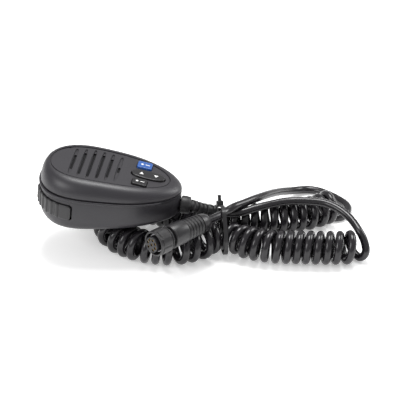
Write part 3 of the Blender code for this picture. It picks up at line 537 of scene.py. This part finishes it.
# Black woven cloth behind the slots keeps dust off the loudspeaker
cloth_black, cloth_shader = new_material("black polyester grille cloth")
spot = node(cloth_black, "ShaderNodeTexCoord")
weave = node(cloth_black, "ShaderNodeTexBrick", [("Scale", 1000 / 1.2), ("Mortar Size", 0.12)],
             Vector=spot.outputs["Object"])
thread = node(cloth_black, "ShaderNodeMixRGB", [("Color1", linear("#0b0b0c")), ("Color2", linear("#18181a"))],
              Fac=weave.outputs["Fac"])
cloth_black.node_tree.links.new(thread.outputs["Color"], cloth_shader.inputs["Base Color"])
cloth_shader.inputs["Roughness"].default_value = 0.95
cloth_shape = (-14.0, 18.6, 19.5, 0.0, 2.2, 2.2)
cloth_rings = [egg_ring(cloth_shape, lambda x: face_height(x) - WALL - drop, 64) for drop in (0.12, 0.3)]
grille_cloth = skin("grille_cloth", from_body(cloth_rings), "strips", cloth_black)
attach(grille_cloth, "case")

# ---------------------------------------------------------------------------------------------------
# Rear cover: a deep moulded ABS tub with a rounded bead under the joint, a long window for the talk bar,
# four countersunk screw holes in its sloping back, and a hole each for the cord and the hanger's screw.

BEAD = 1.2
BEAD_END = 38.0            # the bead stops here, short of the cord end
WALL_FOOT = -15.5
BAR_START, BAR_END = 5.19, 6.196          # the talk bar's ends, as turns round the joint's outline
BAR_MIDDLE, BAR_HALF = -12.0, 5.7         # height of its middle, and half its width
WALL_STEPS = 160                          # along the window's cutter
CASE_SCREWS = ((-22.0, 20.5), (-22.0, -20.5), (33.0, 11.0), (33.0, -11.0))
TOWER, SCREW_HEAD, SCREW_SHANK = 3.6, 2.9, 1.5    # radii of each screw's tower, head hole and shank hole
CORD_HOLE, STUD_HOLE = 3.3, 1.7
EXIT = np.array([49.5, 0, -11.4])
STUD_X = -24.0
STUD_LEAN = np.radians(-9.03)


def off_wall(turn, out):
    """The joint's outline at a turn, moved square to itself by out millimetres."""
    ahead = egg(OUTER, turn + 0.002) - egg(OUTER, turn - 0.002)
    ahead /= np.linalg.norm(ahead, axis=-1)[..., None]
    return egg(OUTER, turn) + np.stack([-ahead[..., 1], ahead[..., 0]], axis=-1) * np.asarray(out)[..., None]


def tub(inset):
    """The rear's outside, or its inside: upright walls with a half-round bead, whose height fades out at
    the cord end, then a quarter turn from the joint's outline into the back's, on the sloping back."""
    if inset:
        rings = [egg_ring(grown(OUTER, -inset), 1.0)]
    else:
        plain, wide = egg_ring(OUTER, 0), egg_ring(grown(OUTER, 1), 0)
        fade = np.clip((BEAD_END - plain[:, 0]) / 2.5, 0, 1)[:, None] ** 0.5
        lip = ((-0.9, -GAP / 2), (-0.9, -0.85), (-0.1, -0.95))
        rings = [egg_ring(grown(OUTER, out), z) for out, z in lip]
        for turn in np.radians(np.linspace(-80, 80, 11)):
            ring = plain + (wide - plain) * fade * BEAD * np.cos(turn) ** 0.5
            rings.append(ring + [0, 0, -1.9 - 0.9 * np.sin(turn)])
        rings += [egg_ring(grown(OUTER, out), z) for out, z in ((-0.25, -2.95), (-0.25, -3.3), (0, -4.2))]
    rings.append(egg_ring(grown(OUTER, -inset), WALL_FOOT))
    for fall in np.radians(np.linspace(6, 90, 15)):
        outline = between(grown(BACK, -inset), grown(OUTER, -inset), np.cos(fall))
        rings.append(egg_ring(
            outline, lambda x: WALL_FOOT + (back_height(x) + inset - WALL_FOOT) * np.sin(fall)))
    return from_body(rings)


def end_ease(turn, corner):
    """How far a strip's edges pull in near its ends, so that its corners are round."""
    run = np.r_[0, np.cumsum(np.linalg.norm(np.diff(egg(OUTER, turn), axis=0), axis=1))]
    near = np.clip(corner - np.minimum(run, run[-1] - run), 0, corner)
    return corner - np.sqrt(corner**2 - near**2)


def wall_cutter(start, end, inner, outer, half, corner):
    """A cutter that follows the wall, from inner to outer off the outline, with round corners."""
    turn = np.linspace(start, end, WALL_STEPS)
    height = half - end_ease(turn, corner)
    near, far = (off_wall(turn, np.full(WALL_STEPS, out)) for out in (inner, outer))
    low, high = (BAR_MIDDLE - height)[:, None], (BAR_MIDDLE + height)[:, None]
    rings = np.stack([np.hstack([near, low]), np.hstack([far, low]), np.hstack([far, high]),
                      np.hstack([near, high])], axis=1)
    return skin("cutter", from_body(rings), "fan")


def rod(radius, low, high, place, sides=48):
    """A round cutter or boss, upright in the frame that place gives."""
    turn = np.linspace(0, 2 * np.pi, sides, endpoint=False)
    ring = np.column_stack([radius * np.cos(turn), radius * np.sin(turn), np.zeros(sides)])
    return skin("rod", place(np.stack([ring + [0, 0, low], ring + [0, 0, high]])), "fan")


def from_stud(points):
    """Points in the frame of the hanger's stud, which stands square on the sloping back."""
    return from_body(tilt(points, STUD_LEAN, (STUD_X, 0, back_height(STUD_X))))


rear_abs = moulded("moulded charcoal ABS", "#201e23", "#262429", (0.36, 0.5), 0.5, 0.03)
rear_cover = skin("rear_cover", tub(0), "strips", rear_abs)
tools = [skin("rear_room", tub(WALL), "strips")]
tools.append(wall_cutter(BAR_START - 0.02, BAR_END + 0.03, -3.3, 4, BAR_HALF + 0.45, 2.3))
settle(rear_cover, "DIFFERENCE", tools)
towers, tools = [], []
for x, y in CASE_SCREWS:
    def at_screw(points):
        return from_body(points + [x, y, 0])
    towers.append(rod(TOWER, back_height(x) + (2.0 if x < 0 else 1.6), -7.5, at_screw))
    tools.append(rod(SCREW_HEAD, -45, -9.5, at_screw))
    tools.append(rod(SCREW_SHANK, -20, 0, at_screw, 24))
settle(rear_cover, "UNION", towers)
tools.append(rod(CORD_HOLE, -10, 8, lambda points: from_body(points[..., [2, 1, 0]] + EXIT)))
tools.append(rod(STUD_HOLE, -2, 6, from_stud, 32))
settle(rear_cover, "DIFFERENCE", tools)
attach(rear_cover, "case")
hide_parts("rear_shell")

# ---------------------------------------------------------------------------------------------------
# Talk bar: one moulded lever along the head's near side, with grip ribs round the head and a smooth thumb
# pad over its hinge pin. It is pressed in to talk, and turns on the pin.

BAR_OUT, BAR_IN = 1.1, -1.5      # how far its outside and inside are from the joint's outline
RIB, RIB_PITCH = 0.7, 4.8
PAD, PAD_RISE = 9.0, 0.35        # length of the thumb pad, and how far it stands over the ribs' roots
BAR_CORNER, BAR_EASE = 2.0, 1.2  # round at its corners and along its edges
BAR_STEPS = 360

turn = np.linspace(BAR_START, BAR_END, BAR_STEPS)
run = np.r_[0, np.cumsum(np.linalg.norm(np.diff(egg(OUTER, turn), axis=0), axis=1))]
ribs = RIB * np.maximum(0, np.cos(2 * np.pi * (run - PAD - 1.2) / RIB_PITCH)) ** 0.6
blend = np.clip((run - PAD + 0.6) / 0.6, 0, 1)
ease = end_ease(turn, BAR_CORNER)
reach = BAR_OUT + PAD_RISE * (1 - blend) + ribs * blend - 0.45 * ease / BAR_CORNER
height = BAR_HALF - ease
# The section runs up the inside, then round the outside with its edges eased by a quarter turn
edge = np.radians(np.linspace(0, 90, 7))
inside = off_wall(turn, np.full(BAR_STEPS, BAR_IN))
sections = [np.column_stack([inside, BAR_MIDDLE - height])]
for side, angles in ((-1, edge), (1, edge[::-1])):
    for a in angles:
        level = BAR_MIDDLE + side * (height - BAR_EASE + BAR_EASE * np.cos(a))
        sections.append(np.column_stack([off_wall(turn, reach - 1 + np.sin(a)), level]))
sections.append(np.column_stack([inside, BAR_MIDDLE + height]))
bar_abs = moulded("satin black ABS", "#1a191b", "#212022", (0.32, 0.45), 0.5, 0.02)
talk_bar = skin("talk_bar", from_body(np.stack(sections, axis=1)), "fan", bar_abs)
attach(talk_bar, "ptt")
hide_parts("ptt_bar")

# ---------------------------------------------------------------------------------------------------
# Keys: two moulded caps, one of them blue, and an oval rocker between them, each on a rubber sheet. Their
# flanges hold them under the cover, and their marks are pad-printed in white.

key_blue = moulded("satin blue ABS", "#2a5499", "#3561ab", (0.28, 0.36), 0.4, 0.01)
key_black = moulded("satin black key ABS", "#19181a", "#201f21", (0.25, 0.35), 0.4, 0.01)
white_ink, ink_shader = new_material("white pad-printing ink")
spot = node(white_ink, "ShaderNodeTexCoord")
specks = node(white_ink, "ShaderNodeTexNoise", [("Scale", 3000)], Vector=spot.outputs["Object"])
ink = node(white_ink, "ShaderNodeMixRGB", [("Color1", linear("#d9d9d7")), ("Color2", linear("#f4f4f2"))],
           Fac=specks.outputs["Fac"])
white_ink.node_tree.links.new(ink.outputs["Color"], ink_shader.inputs["Base Color"])
ink_shader.inputs["Roughness"].default_value = 0.55
INK = 0.05                 # thickness of a printed mark
KEY_TOP, ROCKER_TOP = 1.2, 1.0   # height of each top in the keypad's frame

round_over = [(0.45 * (1 - np.cos(a)), 0.45 * np.sin(a)) for a in np.radians(np.linspace(0, 90, 6))]


def key_cap(name, side, material, body):
    """A key: its foot, its flange, its straight sides, and an edge that rounds over by a quarter turn."""
    x, y, corner = KEY
    spot = (KEY_SPOT[0], side * KEY_SPOT[1])
    levels = [(0, -5), (0, -4.2), (0.8, -4.2), (0.8, -3.2), (0, -3.2), (0, 0.75)]
    levels += [(-inset, 0.75 + rise) for inset, rise in round_over[1:]]
    rings = [rounded_ring(x + out, y + out, corner + out * 0.8, z, spot) for out, z in levels]
    cap = skin(name, from_keypad(rings), "fan", material)
    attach(cap, body)
    return cap


def printed(name, outlines, middle, top, body):
    """Printed marks: each outline, in millimetres round the middle, raised by the ink's thickness."""
    for number, flat in enumerate(outlines, 1):
        rings = [np.column_stack([np.asarray(flat) + middle, np.full(len(flat), z)])
                 for z in (top, top + INK)]
        mark = skin(f"{name}_{number}", from_keypad(rings), "fan", white_ink)
        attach(mark, body)


circle = np.linspace(0, 2 * np.pi, 32, endpoint=False)
dot = np.column_stack([0.95 * np.cos(circle) - 1.9, 0.95 * np.sin(circle)])
dash = [(0.4, -0.35), (3.4, -0.35), (3.4, 0.35), (0.4, 0.35)]
triangle = np.array([(-1.6, -1.2), (1.6, -1.2), (0, 1.6)])

key_far = key_cap("blue_key_cap", 1, key_blue, "far_key")
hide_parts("key_far")
key_near = key_cap("black_key_cap", -1, key_black, "near_key")
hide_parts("key_near")
printed("blue_key_mark", [dot, dash], (KEY_SPOT[0], KEY_SPOT[1]), KEY_TOP, "far_key")
printed("black_key_mark", [dot, dash], (KEY_SPOT[0], -KEY_SPOT[1]), KEY_TOP, "near_key")

x, y = ROCKER_HALF
levels = [(-1, -4.9), (0.6, -4.9), (0.6, -4.0), (0, -4.0), (0, 0.4)]
levels += [(-1.4 * inset, 0.4 + 1.33 * rise) for inset, rise in round_over[1:]]
rings = [oval_ring(x + out, y + out, z, ROCKER_MIDDLE) for out, z in levels]
rocker = skin("rocker_cap", from_keypad(rings), "fan", key_black)
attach(rocker, "rocker")
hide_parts("rocker_key")
printed("rocker_mark_up", [triangle], (ROCKER_MIDDLE - 5, 0), ROCKER_TOP, "rocker")
printed("rocker_mark_down", [-triangle], (ROCKER_MIDDLE + 5.5, 0), ROCKER_TOP, "rocker")

# ---------------------------------------------------------------------------------------------------
# Strain relief: soft PVC moulded on the cord. A plain collar stands out of the rear cover's cord end, then
# a taper of staggered half rings with windows between them, so that it bends in a curve.

BOOT_ROUTE = np.array([(62.5, -3.5, 30.5), (66.3, -1.8, 28.8), (69.4, -0.7, 27.4), (72.8, 0.4, 26)])
COLLAR = np.array([(-4.9, 3.9), (-3.1, 3.9), (-3.05, 3.0), (0.3, 3.0), (0.35, 5.9), (0.7, 6.3), (3.3, 6.4),
                   (6.3, 6.0), (6.8, 5.6), (7.2, 3.5)])        # along from the exit, and radius
HALF_RING, RING_PITCH, BOOT_CORE = 1.35, 4.4, 3.1
BOOT_SIDES = 96


def swept(name, path, radius, material):
    """A round skin along a path: radius is a number for each point of the path and each angle round it."""
    ahead = np.gradient(path, axis=0)
    ahead /= np.linalg.norm(ahead, axis=1)[:, None]
    side = np.cross(ahead, [0, 0, 1.0])
    side /= np.linalg.norm(side, axis=1)[:, None]
    over = np.cross(side, ahead)
    turn = np.linspace(0, 2 * np.pi, radius.shape[1], endpoint=False)
    around = side[:, None] * np.cos(turn)[:, None] + over[:, None] * np.sin(turn)[:, None]
    return skin(name, path[:, None] + around * radius[..., None], "fan", material)


def body_in_loops(points):
    """Points of the body's frame, in the frame of the cord's loops, in millimetres."""
    lifted = tilt(points, CORD_END_DIP, (0, 0, JOINT_HEIGHT))
    c, s = np.cos(LOOPS_TURN), np.sin(LOOPS_TURN)
    return lifted @ np.array([[c, -s, 0], [s, c, 0], [0, 0, 1]])


collar_path = body_in_loops(np.column_stack([COLLAR[:, 0], np.zeros((len(COLLAR), 2))]) + EXIT)
taper = even_curve(np.vstack([collar_path[-1], BOOT_ROUTE]), 0.25)
travelled = np.r_[0, np.cumsum(np.linalg.norm(np.diff(taper, axis=0), axis=1))]
turn = np.linspace(0, 2 * np.pi, BOOT_SIDES, endpoint=False)
stagger = np.where(np.cos(turn) > 0, 0.5, 0.0)
wave = np.cos(2 * np.pi * (travelled[:, None] / RING_PITCH + stagger))
ring = np.clip(0.6 + 2.5 * wave, 0, 1)
bridge = np.clip(1 - np.abs(np.cos(turn)) / 0.3, 0, 1)      # the half rings join above and below
ring = np.maximum(ring, bridge * 0.8)
shrink = np.linspace(1.0, 0.8, len(taper))[:, None]
fade = np.clip(np.minimum(travelled, travelled[-1] - travelled) / 0.8, 0, 1)[:, None]
boot_radius = BOOT_CORE + HALF_RING * ring * shrink * fade
collar_radius = np.repeat(COLLAR[:-1, 1:], BOOT_SIDES, axis=1)
soft_pvc = moulded("soft black PVC", "#161517", "#1d1c1e", (0.42, 0.55), 0.4, 0.02)
cord_boot = swept("cord_boot", from_loops(np.vstack([collar_path[:-1], taper])),
                  np.vstack([collar_radius, boot_radius]) * MM, soft_pvc)
cord_pieces.append(cord_boot)
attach(cord_boot, "case")
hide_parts("strain_relief")

# ---------------------------------------------------------------------------------------------------
# Plug: a gland cap with gripping ribs screws over the seal, a smooth grip holds the metal shell, and a free
# coupling nut with eight raised pads turns and slides on it. All three mouldings are satin black nylon.

PLUG_EXIT = np.array([67.7, -21.5, 31.5])
PLUG_HEADING, PLUG_TIP = np.radians(-137.0), np.radians(90 - 1.7)
PLUG_SIDES = 192


def from_plug(points):
    """Points round the plug's axis, which leaves the cord along +Z, in the model's metres."""
    tipped = tilt(points, PLUG_TIP)
    c, s = np.cos(PLUG_HEADING), np.sin(PLUG_HEADING)
    return from_loops(tipped @ np.array([[c, s, 0], [-s, c, 0], [0, 0, 1]]) + PLUG_EXIT)


def turned(name, profile, place, ends, material, sides=PLUG_SIDES):
    """A turned piece: a profile of radius and height, carried round the axis."""
    radius, height = np.asarray(profile, float).T[..., None]
    turn = np.linspace(0, 2 * np.pi, sides, endpoint=False)
    height = np.repeat(height, sides, axis=1)
    rings = np.stack([radius * np.cos(turn), radius * np.sin(turn), height], axis=-1)
    return skin(name, place(rings), ends, material)


plug_nylon = moulded("satin glass-filled nylon", "#1d1c1e", "#262527", (0.28, 0.42), 0.35, 0.015)
CAP_TOP = 23.6                 # along the plug, where the cap meets the grip
CAP_RIBS, CAP_RIB_PITCH = 5, 2.9
cap = [(6.0, CAP_TOP), (7.5, CAP_TOP)]
for number in range(CAP_RIBS):
    top, wide = CAP_TOP - CAP_RIB_PITCH * number, 7.8 - 0.12 * number
    cap += [(wide - 0.3, top - 0.02), (wide, top - 0.3), (wide, top - 1.9), (wide - 0.3, top - 2.15)]
    cap += [(wide - 0.75, top - 2.2), (wide - 0.75, top - 2.8)]
cap += [(7.15, 9.05), (7.0, 8.0), (6.6, 5.4), (6.0, 3.6), (5.2, 2.2), (4.2, 1.0), (3.6, 0.5), (3.1, 0.3)]
cap += [(3.1, 6), (6.0, 9)]
gland = turned("gland_cap", cap, from_plug, "loop", plug_nylon)
cord_pieces.append(gland)
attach(gland, "case")
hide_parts("plug_gland_cap")

grip_profile = [(6.0, 37.6), (8.1, 37.6), (8.45, 37.4), (8.6, 37.0), (8.6, 36.4), (8.35, 36.1), (8.5, 35.6),
                (8.35, 25.4), (8.2, 24.6), (7.9, 24.15), (7.4, 24.0), (6.0, 24.0)]
grip = turned("plug_barrel", grip_profile, from_plug, "loop", plug_nylon)
cord_pieces.append(grip)
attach(grip, "case")
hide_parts("plug_grip")

# The nut's outside is a turned form with eight pads raised on it by a smooth step in angle and in height
NUT_PADS, PAD_HALF_ANGLE, PAD_HEIGHT = 8, np.radians(17.5), 0.65
nut_profile = np.array([
    (7.9, 52.3), (8.2, 52.55), (8.8, 52.5), (9.15, 52.1), (9.2, 51.5), (9.15, 51.0), (8.8, 50.8),
    (8.8, 50.5), (8.8, 50.2), (8.8, 49.9), (8.8, 43.0), (8.8, 42.7), (8.8, 42.4), (8.8, 41.9), (8.4, 41.4),
    (6.9, 41.4), (6.9, 43.4), (7.9, 43.4),
])
turn = np.linspace(0, 2 * np.pi, PLUG_SIDES, endpoint=False)
pad_pitch = 2 * np.pi / NUT_PADS
off_pad = np.abs((turn % pad_pitch) - pad_pitch / 2)
side_step = np.clip((PAD_HALF_ANGLE - off_pad) / np.radians(2), 0, 1)
end_step = np.zeros((len(nut_profile), 1))
end_step[8:12] = 1             # the pads run over these points of the profile
radius = nut_profile[:, :1] + PAD_HEIGHT * side_step * end_step
heights = np.repeat(nut_profile[:, 1:], PLUG_SIDES, axis=1)
rings = np.stack([radius * np.cos(turn), radius * np.sin(turn), heights], axis=-1)
nut = skin("nut", from_plug(rings), "loop", plug_nylon)
cord_pieces.append(nut)
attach(nut, "nut")
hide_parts("coupling_nut")

# ---------------------------------------------------------------------------------------------------
# Hanger button: a zinc-plated steel stud with a rolled flange, which slides into a clip on a dashboard.


def metal(name, dark, light, roughness, streak):
    """A metal whose gloss varies in streaks of this size in millimetres, as plating over machining does."""
    plated, plated_shader = new_material(name)
    spot = node(plated, "ShaderNodeTexCoord")
    marks = node(plated, "ShaderNodeTexNoise", [("Scale", 1 / (streak * MM)), ("Detail", 4.0)],
                 Vector=spot.outputs["Object"])
    tint = node(plated, "ShaderNodeMixRGB", [("Color1", linear(dark)), ("Color2", linear(light))],
                Fac=marks.outputs["Fac"])
    gloss = node(plated, "ShaderNodeMapRange", [("To Min", roughness[0]), ("To Max", roughness[1])],
                 Value=marks.outputs["Fac"])
    plated.node_tree.links.new(tint.outputs["Color"], plated_shader.inputs["Base Color"])
    plated.node_tree.links.new(gloss.outputs["Result"], plated_shader.inputs["Roughness"])
    plated_shader.inputs["Metallic"].default_value = 1.0
    return plated


zinc = metal("zinc-plated steel", "#9d9b96", "#c4c2bc", (0.25, 0.42), 0.8)
button_profile = [(0.001, -6.4), (1.7, -6.4), (1.7, -0.3), (3.6, -0.3), (3.6, -5.3), (3.8, -5.65),
                  (4.2, -5.8), (5.9, -5.8), (6.3, -5.95), (6.5, -6.3), (6.5, -8.1), (6.35, -8.5),
                  (6.0, -8.7), (0.001, -8.7)]
button = turned("hanger_button", button_profile, from_stud, "loop", zinc, 96)
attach(button, "case")
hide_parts("hanger_stud")

# ---------------------------------------------------------------------------------------------------
# What the covers hold, and the small pieces that keep their machined shape: each gets its own finish.

rubber_black = moulded("black silicone rubber", "#131214", "#1a191b", (0.6, 0.75), 0.3, 0.02)
nylon_black = moulded("black nylon 66", "#19181a", "#222123", (0.35, 0.5), 0.4, 0.01)
acetal_black = moulded("black acetal washer", "#101011", "#161617", (0.4, 0.5), 0.4, 0.01)
switch_abs = moulded("grey switch ABS", "#3a393c", "#454447", (0.45, 0.6), 0.3, 0.01)
ferrite = moulded("sintered ferrite", "#232225", "#2f2e31", (0.55, 0.7), 0.5, 0.04)
cone_paper = moulded("pressed cone paper", "#4a4843", "#5c5a54", (0.85, 0.95), 0.3, 0.06)
solder_mask = moulded("green solder mask", "#17492c", "#226038", (0.25, 0.4), 1.5, 0.01)
nickel = metal("dark nickel plate", "#6e6d70", "#8c8b8e", (0.22, 0.35), 0.6)
gold = metal("gold-plated brass", "#b8924a", "#e0bd70", (0.2, 0.32), 0.3)

FINISHES = (
    (rubber_black, "shell_gasket", "ptt_membrane", "keypad_sheet", "speaker_seal", "mic_boot", "plug_seal"),
    (nylon_black, "cable_tie", "cord_clamp", "cord_header", "plug_insert"),
    (acetal_black, "nut_thrust_ring"),
    (switch_abs, "ptt_switch"),
    (ferrite, "speaker_magnet"),
    (cone_paper, "speaker_cone"),
    (solder_mask, "main_board"),
    (nickel, "plug_shell"),
    (jacket, "inner_cable"),
    (zinc, "speaker_frame", "mic_capsule", "ptt_pivot_pin", "stud_screw", "clamp_screw_1", "clamp_screw_2",
     *(f"case_screw_{number}" for number in range(1, 5))),
    (gold, *(f"plug_contact_{number}" for number in range(1, 9))),
)
for material, *names in FINISHES:
    for name in names:
        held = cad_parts[name]
        held.data.materials.clear()
        held.data.materials.append(material)

# ---------------------------------------------------------------------------------------------------
# The whole cord's pieces, from the boot to the plug, gathered in one list.

cord_pieces += [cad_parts[name] for name in ("plug_shell", "plug_insert", "nut_thrust_ring")]
cord_pieces += [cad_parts[f"plug_contact_{number}"] for number in range(1, 9)]
